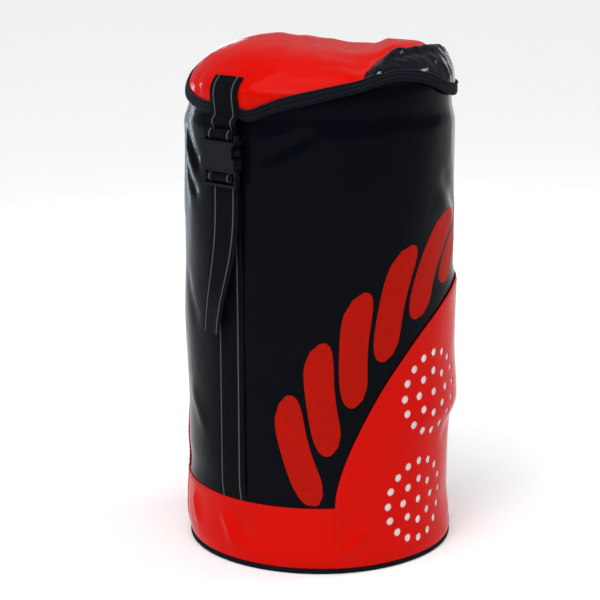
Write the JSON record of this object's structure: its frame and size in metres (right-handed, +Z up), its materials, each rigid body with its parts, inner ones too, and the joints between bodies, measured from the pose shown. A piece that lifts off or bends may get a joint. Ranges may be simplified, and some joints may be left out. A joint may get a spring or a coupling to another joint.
{
  "type": "rope storage bag",
  "caption": "Upright round tarpaulin rope bag with a hinged domed lid, buckled closure strap, red base and side panels with drain holes, and shoulder straps.",
  "frame": {"origin": "centre of the round base, on the floor", "axes": "+Z up along the bag; -Y is the front with the closure strap and buckle; +Y the back with the shoulder straps; +X the bag's side that shows on the right of that front"},
  "size_m": [0.2828, 0.3091, 0.522],
  "materials": {
    "black_tarpaulin": "glossy black PVC-coated tarpaulin with a fine scrim showing through",
    "red_tarpaulin": "glossy red PVC-coated tarpaulin",
    "binding_tape": "matt black woven edge tape",
    "webbing": "matt black woven webbing with two thin grey reflective lines",
    "buckle_plastic": "moulded black acetal, fine spark texture",
    "drain_mesh": "white PVC-coated open mesh",
    "pad_fabric": "black woven nylon over foam"
  },
  "bodies": {
    "bag_body": {"body_shell_left": "black_tarpaulin", "body_shell_right": "black_tarpaulin", "base_disc": "black_tarpaulin", "side_panel_left": "red_tarpaulin", "side_panel_right": "red_tarpaulin", "base_band_front": "red_tarpaulin", "base_band_rear": "red_tarpaulin", "base_piping": "binding_tape", "rim_binding": "binding_tape", "hinge_tape": "binding_tape", "closure_webbing": "webbing", "handle_tab_left": "webbing", "handle_tab_right": "webbing", "strap_yoke": "webbing", "lower_webbing_left": "webbing", "lower_webbing_right": "webbing", "rope_tie_loop": "webbing", "buckle_plug": "buckle_plastic", "ladder_lock_left": "buckle_plastic", "ladder_lock_right": "buckle_plastic", "drain_mesh_lower_left": "drain_mesh", "drain_mesh_lower_right": "drain_mesh", "drain_mesh_upper_left": "drain_mesh", "drain_mesh_upper_right": "drain_mesh", "back_pad": "pad_fabric", "shoulder_pad_left": "pad_fabric", "shoulder_pad_right": "pad_fabric"},
    "lid": {"lid_top": "red_tarpaulin", "lid_gusset_left": "black_tarpaulin", "lid_gusset_right": "black_tarpaulin", "lid_binding": "binding_tape", "lid_strap": "webbing"},
    "lid_buckle": {"lid_strap_loop": "webbing", "buckle_socket": "buckle_plastic"},
    "prong_left": {"buckle_prong_left": "buckle_plastic"},
    "prong_right": {"buckle_prong_right": "buckle_plastic"},
    "haul_handle": {"haul_handle": "webbing"}
  },
  "joints": [
    {"name": "lid_hinge", "type": "hinge", "parent": "bag_body", "child": "lid", "pos_m": [0, 0.1375, 0.4655], "axis": [-1, 0, 0], "range_deg": [0, 110]},
    {"name": "lid_strap_swing", "type": "hinge", "parent": "lid", "child": "lid_buckle", "pos_m": [0, -0.1426, 0.4499], "axis": [-1, 0, 0], "range_deg": [-110, 0]},
    {"name": "prong_left_squeeze", "type": "hinge", "parent": "bag_body", "child": "prong_left", "pos_m": [-0.0116, -0.1445, 0.408], "axis": [0, 1, 0], "range_deg": [0, 11], "stiffness_Nm_per_rad": 1.2, "deforming": ["buckle_prong_left"]},
    {"name": "prong_right_squeeze", "type": "hinge", "parent": "bag_body", "child": "prong_right", "pos_m": [0.0116, -0.1445, 0.408], "axis": [0, -1, 0], "range_deg": [0, 11], "stiffness_Nm_per_rad": 1.2, "deforming": ["buckle_prong_right"]},
    {"name": "haul_handle_swing", "type": "hinge", "parent": "bag_body", "child": "haul_handle", "pos_m": [0, 0.139, 0.44], "axis": [1, 0, 0], "range_deg": [0, 85]}
  ],
  "couplings": [
    {"joint": "lid_strap_swing", "follows": "lid_hinge", "ratio": -1}
  ]
}
